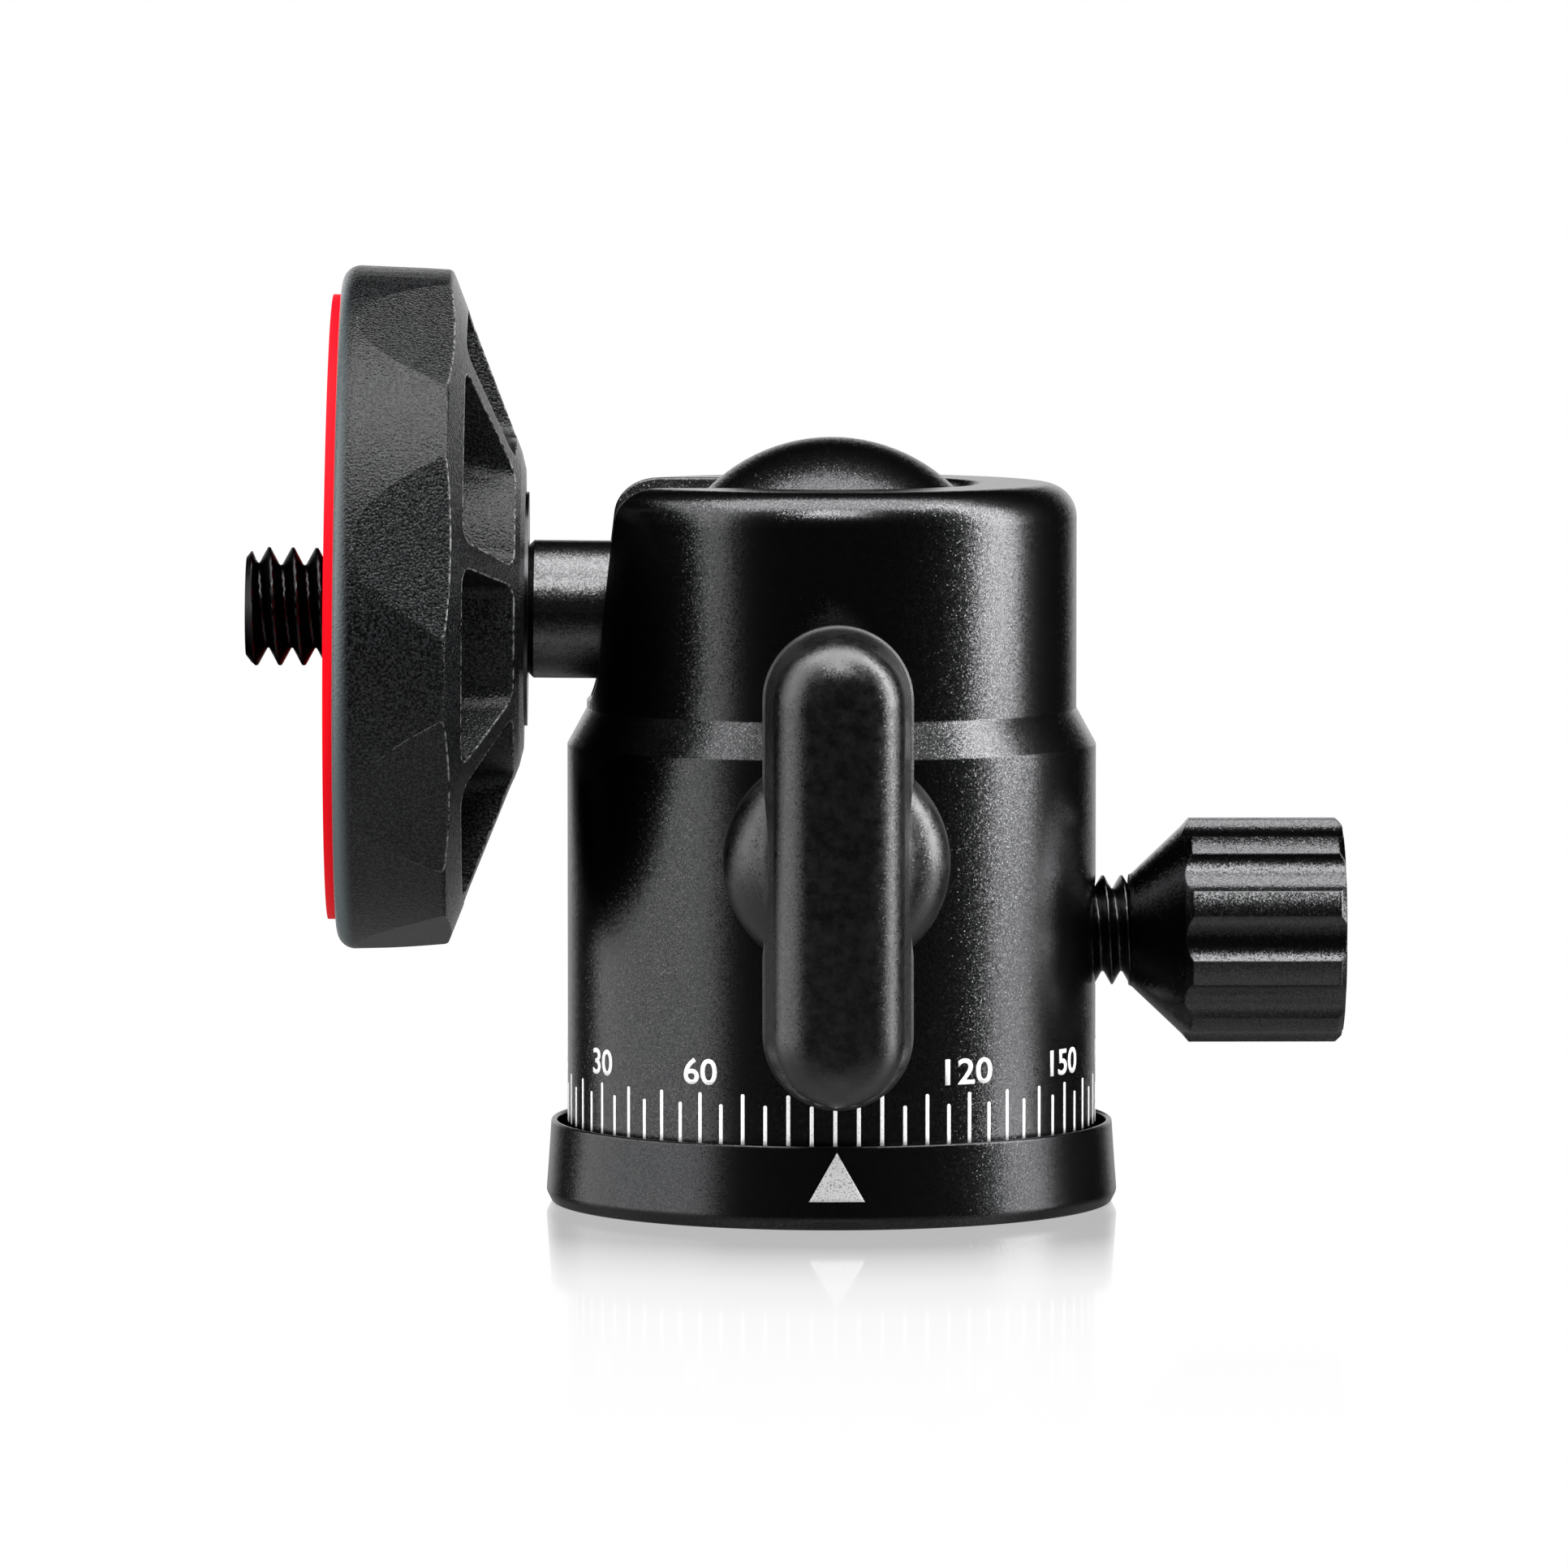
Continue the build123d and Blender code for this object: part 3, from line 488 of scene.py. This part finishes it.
def satin_steel(name, shade, roughness, spread):
    """Dark satin steel of the stem: its tool lines run round it, so lights spread along it."""
    finish = Finish(name, shade, roughness, metallic=1.0)
    finish.all_over("Anisotropic", spread)
    along = finish.add("ShaderNodeCombineXYZ")
    along.inputs["X"].default_value = 1
    finish.link(along.outputs["Vector"], finish.shader.inputs["Tangent"])
    grains = finish.grains(0.075)
    finish.tones(grains["Value"], times(shade, 0.65), times(shade, 1.35))
    finish.facets(grains, lean=0.12, steep=0.3, toward=(1.3, 0.8, 0.8))
    return finish.material


def sandy(name, shade, grain_shade, edge_glint_shade, rim_highlight_shade, rim_x, roughness, specular):
    """Moulding with a sharp sandy grain, pale lines painted along its edges as a highlight and, round its
    face, a smoother rim painted grey as a highlight. rim_x is where along X the painted grey is still full
    and where it is gone."""
    rim_relief = 0.3
    finish = Finish(name, shade, roughness, specular=specular)
    sand = finish.noise(7600, detail=1.5)
    tone = finish.tones(finish.spread(sand, 0.4, 0.75), shade, grain_shade)
    along = finish.parts(finish.where)["X"]
    # rim: where the face's rim is painted grey as a highlight, and where its relief is smoother
    rim = finish.spread(along, rim_x[0] * MM, rim_x[1] * MM, 1, 0, smooth=True)
    # pale lines along the outer edges are a painted highlight
    finish.worn(0.17, finish.tones(rim, tone, rim_highlight_shade), edge_glint_shade)
    finish.rounded(0.12)
    finish.bump(finish.math(sand, finish.spread(rim, 0, 1, 1, rim_relief), "MULTIPLY"), 0.07)
    finish.facets(finish.grains(0.07), lean=0.1, steep=0.3, rare=3)
    return finish.material


def moulded(name, shade, roughness, grain_mm, depth_mm):
    """Plain moulding: faintly pebbled, with uneven gloss."""
    finish = Finish(name, shade, roughness)
    finish.tones(finish.noise(300, detail=4), times(shade, 0.75), times(shade, 1.25))
    gloss = finish.noise(1500, detail=3)
    finish.roughness(finish.spread(gloss, *CLOUDY, roughness - 0.06, roughness + 0.08))
    pebbles = finish.cells(grain_mm)["Distance"]
    fine = finish.noise(1000 / grain_mm * 1.7)
    finish.bump(finish.math(pebbles, fine), depth_mm)
    return finish.material


def soft_touch(name, shade, roughness, specular, ior):
    """Soft-touch rubber of the lever: cloudy, uneven gloss and a very fine speckle."""
    finish = Finish(name, shade, roughness, specular=specular)
    finish.all_over("IOR", ior)
    cloud = finish.noise(1600, detail=5, rough=0.62)
    finish.tones(cloud, times(shade, 0.5), times(shade, 1.5))
    finish.roughness(finish.spread(cloud, 0.34, 0.66, roughness + 0.06, roughness - 0.06))
    finish.rounded(0.9)
    finish.bump(cloud, 0.006)
    finish.facets(finish.grains(0.08), lean=0.08, steep=0.2)
    return finish.material


def ringed(name, shade, roughness, specular, pitch_mm):
    """Rubber of the pad: fine rings round the stem's axis, sin(2 pi * radius / pitch), on a face painted
    a little darker than its cut edge, a painted shade."""
    finish = Finish(name, shade, roughness, specular=specular)
    centred = finish.vectors("SUBTRACT", finish.where, (0, 0, PAD_Z * MM))
    radius = finish.vectors("LENGTH", finish.vectors("MULTIPLY", centred, (0, 1, 1)))
    turns = finish.math(radius, 2 * np.pi / (pitch_mm * MM), "MULTIPLY")
    ring = finish.spread(finish.math(turns, operation="SINE"), -0.4, 0.4, smooth=True)
    uneven = finish.spread(finish.noise(900, detail=3), *CLOUDY, -0.2, 0.2)
    # the face is painted darker than its cut edge: painted shade
    face = finish.tones(finish.math(ring, uneven), times(shade, 0.5), times(shade, 0.78))
    finish.tones(finish.spread(radius, (PAD_R - 0.12) * MM, (PAD_R - 0.02) * MM), face, shade)
    finish.bump(ring, 0.04)
    return finish.material


def painted(name, shade, dot_mm, dark):
    """Laser-marked paint: fine dots let a little of the darker ground through."""
    finish = Finish(name, shade, roughness=0.5, specular=0.2)
    dots = finish.spread(finish.noise(1000 / dot_mm, detail=1), 0.34, 0.46)
    finish.tones(dots, dark, shade)
    return finish.material


TURNED = {"lines": 900, "depth_mm": 0.004, "stretch": (1, 1, 12)}
OXIDE = {"lines": 1500, "depth_mm": 0.002, "stretch": (6, 1, 1)}
LOOKS = {
    "anodised_black": (blasted, {
        "shade": (0.067, 0.067, 0.069), "roughness": 0.222,
        "grain_mm": 0.055, "speckle": 0.42, "lean": 0.08, "steep": 0.26, "rare": 9,
    }),
    "bed_black": (blasted, {
        "shade": (0.05, 0.05, 0.052), "roughness": 0.235,
        "grain_mm": 0.055, "speckle": 0.35, "lean": 0.06, "steep": 0.22, "rare": 9,
    }),
    "knob_black": (blasted, {
        "shade": (0.068, 0.068, 0.07), "roughness": 0.2,
        "grain_mm": 0.065, "speckle": 0.4, "lean": 0.09, "steep": 0.3, "edge_mm": 0.13,
    }),
    "ball_black": (blasted, {
        "shade": (0.055, 0.055, 0.057), "roughness": 0.235,
        "grain_mm": 0.065, "speckle": 0.4, "lean": 0.1, "steep": 0.28, "edge_mm": 0,
    }),
    "bright_steel": (turned_metal, {"shade": (0.5, 0.5, 0.51), "roughness": 0.28, **TURNED}),
    "dark_steel": (turned_metal, {"shade": (0.06, 0.06, 0.062), "roughness": 0.25, **OXIDE}),
    "screw_steel": (turned_metal, {
        "shade": (0.03, 0.03, 0.032), "roughness": 0.27, "grazing": 0.25, **OXIDE,
    }),
    "stem_steel": (satin_steel, {"shade": (0.115, 0.115, 0.117), "roughness": 0.32, "spread": 0.6}),
    "brass": (turned_metal, {"shade": (0.72, 0.5, 0.2), "roughness": 0.3, **TURNED}),
    "nylon": (moulded, {"shade": (0.08, 0.08, 0.085), "roughness": 0.4, "grain_mm": 0.3, "depth_mm": 0.002}),
    "grip_rubber": (soft_touch, {
        "shade": (0.0004, 0.0004, 0.0005), "roughness": 0.3, "specular": 0.85, "ior": 1.55,
    }),
    "platform_plastic": (sandy, {
        "shade": (0.0012, 0.0013, 0.0014), "grain_shade": (0.02, 0.021, 0.022),
        # the pale edge lines and the grey rim below are painted highlights
        "edge_glint_shade": (0.35, 0.35, 0.355), "rim_highlight_shade": (0.078, 0.1, 0.106), "rim_x": (-26.3, -25.35),
        "roughness": 0.21, "specular": 0.31,
    }),
    "pad_rubber": (ringed, {
        "shade": (0.97, 0.0022, 0.010), "roughness": 0.5, "specular": 0.06, "pitch_mm": 0.9,
    }),
}
FINISHES = {name: make(name, **look) for name, (make, look) in LOOKS.items()}
OWN_FINISH = {"base_disc": "bed_black"}     # nodes that don't look as their slot does
MARK_WHITE = painted("mark_white", shade=(0.93, 0.93, 0.93), dot_mm=0.06, dark=(0.6, 0.6, 0.6))
MARK_GREY = painted("mark_grey", shade=(0.5, 0.5, 0.5), dot_mm=0.09, dark=(0.2, 0.2, 0.2))


def dress(piece, material):
    piece.data.materials.clear()
    piece.data.materials.append(material)


slots = {part["node"]: part["material_slot"] for part in frame["record"]["subparts"]}
for node, piece in frame["nodes"].items():
    dress(piece, FINISHES[OWN_FINISH.get(node, slots[node])])

ticks, numbers, triangle = scale_ticks(), scale_numbers(), index_triangle()
screw, stud, knob = camera_screw_thread(), pan_lock_thread(), knob_with_true_end()
for piece, body, material, slot in (
    (ticks, "housing", MARK_WHITE, "anodised_black"),
    (numbers, "housing", MARK_WHITE, "anodised_black"),
    (triangle, "base", MARK_GREY, "anodised_black"),
    (screw, "head", FINISHES["screw_steel"], "screw_steel"),
    (stud, "pan_lock", FINISHES["dark_steel"], "dark_steel"),
    (knob, "pan_lock", FINISHES["knob_black"], "knob_black"),
):
    dress(piece, material)
    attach(piece, body)
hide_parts("camera_screw")
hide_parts("pan_lock_stud")
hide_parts("pan_knob")


# ---- studio: floor, world, lamps and camera -----------------------------------------------------------
WHITE = (1, 1, 1, 1)
FLOOR_HALF, FLOOR_DEPTH = 6000, 0.02
FLOOR_GLOSS = 0.06          # roughness of its mirroring
FADE_FROM, FADE_TO = 15, 105
FADE = (                    # distance from the pan axis, and the share of the mirroring that is left there
    (17.3, 1.0), (22.3, 0.98), (27.2, 0.69), (31.4, 0.5), (38.4, 0.27), (45.4, 0.18), (52.4, 0.10),
    (66.5, 0.05), (80.5, 0.02), (102, 0.0),
)
FLOOR_LIGHT = 0.9           # what matt surfaces get from it
FLOOR_GLOW = 0.36           # painted light near the head that other reflections see of it: up to the first distance, gone at the second
GLOW_FROM, GLOW_TO = 40, 95
BEHIND_FROM, BEHIND_FULL = 0.82, 0.95       # Y of the directions over which the white behind comes in
LOW_FULL, LOW_TO = 0.17, 0.34               # and Z of those over which it goes out
DARK = 0.002                                # what other reflections find beyond it
FRONT, REAR = -0.9, 0.4                     # Y of the directions over which the matt light changes
FRONT_LIGHT, REAR_LIGHT = 1.25, 0.45
LAMP_POWER = 4              # watts that a square metre of lamp takes for a radiance of 1


def fade_ramp(graph, distance):
    """Share of the mirroring that is left at a distance."""
    fade = graph.add("ShaderNodeValToRGB")
    elements = fade.color_ramp.elements
    while len(elements) < len(FADE):
        elements.new(0.5)
    for element, (radius, share) in zip(elements, FADE):
        element.position = (radius - FADE_FROM) / (FADE_TO - FADE_FROM)
        element.color = (share, share, share, 1)
    graph.link(graph.spread(distance, FADE_FROM * MM, FADE_TO * MM), fade.inputs["Fac"])
    return fade.outputs["Color"]


def white_light(graph, strength):
    node = graph.add("ShaderNodeEmission")
    graph.put(WHITE, node.inputs["Color"])
    graph.put(strength, node.inputs["Strength"])
    return node.outputs["Emission"]


def mixed(graph, factor, one, other):
    """Shader that goes from one to the other as the factor goes from 0 to 1."""
    node = graph.add("ShaderNodeMixShader")
    for source, socket in zip((factor, one, other), node.inputs):
        graph.link(source, socket)
    return node.outputs["Shader"]


def floor_material():
    """White with a soft mirroring that fades with the distance from the pan axis. Matt surfaces get its white
    light. In other reflections it glows grey close to the head where it is looked at steeply, a painted pool
    of light, and otherwise dark but for its own mirroring. It is clear from below."""
    material = bpy.data.materials.new("studio_floor")
    material.use_nodes = True
    graph = Graph(material.node_tree)
    distance = graph.vectors("LENGTH", graph.add("ShaderNodeTexCoord").outputs["Object"])
    fresnel = graph.add("ShaderNodeFresnel")
    fresnel.inputs["IOR"].default_value = 1.45
    grazing = fresnel.outputs["Fac"]
    glossy = graph.add("ShaderNodeBsdfGlossy")
    glossy.inputs["Color"].default_value = WHITE
    glossy.inputs["Roughness"].default_value = FLOOR_GLOSS
    mirror = glossy.outputs["BSDF"]
    share = graph.math(fade_ramp(graph, distance), grazing, "MULTIPLY")
    seen = mixed(graph, share, white_light(graph, 1.0), mirror)
    near = graph.spread(distance, GLOW_FROM * MM, GLOW_TO * MM, FLOOR_GLOW, 0, smooth=True)
    steep = graph.math(graph.math(1, grazing, "SUBTRACT"), 4, "POWER")
    # painted pool of light near the head, seen only in reflections
    unseen = mixed(graph, grazing, white_light(graph, graph.math(steep, near, "MULTIPLY")), mirror)
    path = graph.add("ShaderNodeLightPath").outputs
    lit = mixed(graph, path["Is Diffuse Ray"], unseen, white_light(graph, FLOOR_LIGHT))
    above = mixed(graph, path["Is Camera Ray"], lit, seen)
    below = graph.add("ShaderNodeBsdfTransparent").outputs["BSDF"]
    back = graph.add("ShaderNodeNewGeometry").outputs["Backfacing"]
    out = graph.add("ShaderNodeOutputMaterial")
    graph.link(mixed(graph, back, above, below), out.inputs["Surface"])
    material.cycles.emission_sampling = "NONE"
    return material


def studio_floor():
    """Wide floor just under the head."""
    square = ((-1, -1), (1, -1), (1, 1), (-1, 1))
    corners = [(x * FLOOR_HALF, y * FLOOR_HALF, -FLOOR_DEPTH) for x, y in square]
    floor = mesh_piece("studio_floor", corners, [(0, 1, 2, 3)])
    dress(floor, floor_material())


def studio_world():
    """White behind the head for the camera and for flat reflections, a soft light for matt surfaces and
    near black for the other reflections."""
    world = bpy.data.worlds.new("studio")
    bpy.context.scene.world = world
    world.use_nodes = True
    graph = Graph(world.node_tree)
    path = graph.add("ShaderNodeLightPath").outputs
    way = graph.parts(graph.add("ShaderNodeTexCoord").outputs["Generated"])
    behind = graph.spread(way["Y"], BEHIND_FROM, BEHIND_FULL, smooth=True)
    low = graph.spread(way["Z"], LOW_FULL, LOW_TO, 1, 0, smooth=True)
    glossy = graph.math(graph.math(graph.math(behind, low, "MULTIPLY"), 1 - DARK, "MULTIPLY"), DARK)
    soft = graph.spread(way["Y"], FRONT, REAR, FRONT_LIGHT, REAR_LIGHT, smooth=True)
    seen = graph.math(path["Is Camera Ray"], path["Is Transmission Ray"], "MAXIMUM")
    matt = graph.math(soft, path["Is Diffuse Ray"], "MULTIPLY")
    shiny = graph.math(glossy, path["Is Glossy Ray"], "MULTIPLY")
    background = graph.add("ShaderNodeBackground")
    background.inputs["Color"].default_value = WHITE
    graph.link(graph.math(seen, graph.math(matt, shiny, "MAXIMUM")), background.inputs["Strength"])
    out = graph.add("ShaderNodeOutputWorld")
    graph.link(background.outputs["Background"], out.inputs["Surface"])


def facing(place, away):
    """Pose at a place that looks against the direction away, as upright as that allows."""
    up = Vector((0, 0, 1)) if abs(away.z) < 0.9 else Vector((0, 1, 0))
    across = up.cross(away).normalized()
    turned = Matrix((across, away.cross(across), away)).transposed().to_4x4()
    return Matrix.Translation(place) @ turned


def softbox(name, centre, size, radiance, target):
    """Rectangular lamp facing a point, with an even face of that radiance."""
    lamp = bpy.data.lights.new(name, "AREA")
    lamp.shape = "RECTANGLE"
    lamp.size, lamp.size_y = size[0] * MM, size[1] * MM
    lamp.energy = radiance * LAMP_POWER * lamp.size * lamp.size_y
    holder = in_scene(name, lamp)
    place, aim = Vector(centre) * MM, Vector(target) * MM
    holder.matrix_world = facing(place, (place - aim).normalized())
    holder.visible_camera = False


def round_about(angle, distance, height):
    """Point at an angle from the lever's side (-Y) towards the knob (+X)."""
    turn = np.radians(angle)
    return (distance * np.sin(turn), -distance * np.cos(turn), height)


def studio_lamps():
    right = round_about(angle=82.3, distance=220, height=194)
    left = round_about(angle=-87, distance=500, height=364)
    softbox("right_softbox", right, size=(95, 372), radiance=7.3, target=(0, 0, right[2]))
    softbox("left_softbox", left, size=(750, 720), radiance=1.85, target=(0, 0, left[2]))
    softbox("top_softbox", (0, -65, 520), size=(700, 380), radiance=4.0, target=(0, -65, 20))
    softbox("front_softbox", (0, -390, 450), size=(230, 210), radiance=7.2, target=(0, 0, 20))


def studio_camera():
    """Long lens, a little above the middle of the head."""
    distance, tilt, turn = 575, np.radians(4.17), np.radians(-0.8)
    target = Vector((-2.55, 0, 22.35)) * MM
    away = Vector((np.sin(turn) * np.cos(tilt), -np.cos(turn) * np.cos(tilt), np.sin(tilt)))
    lens = bpy.data.cameras.new("camera")
    lens.sensor_width, lens.lens = 36, 246.43
    lens.clip_start, lens.clip_end = 0.01, 50
    camera = in_scene("camera", lens)
    camera.matrix_world = facing(target + away * distance * MM, away)
    bpy.context.scene.camera = camera


studio_floor()
studio_world()
studio_lamps()
studio_camera()
bpy.context.scene.view_settings.view_transform = "Standard"
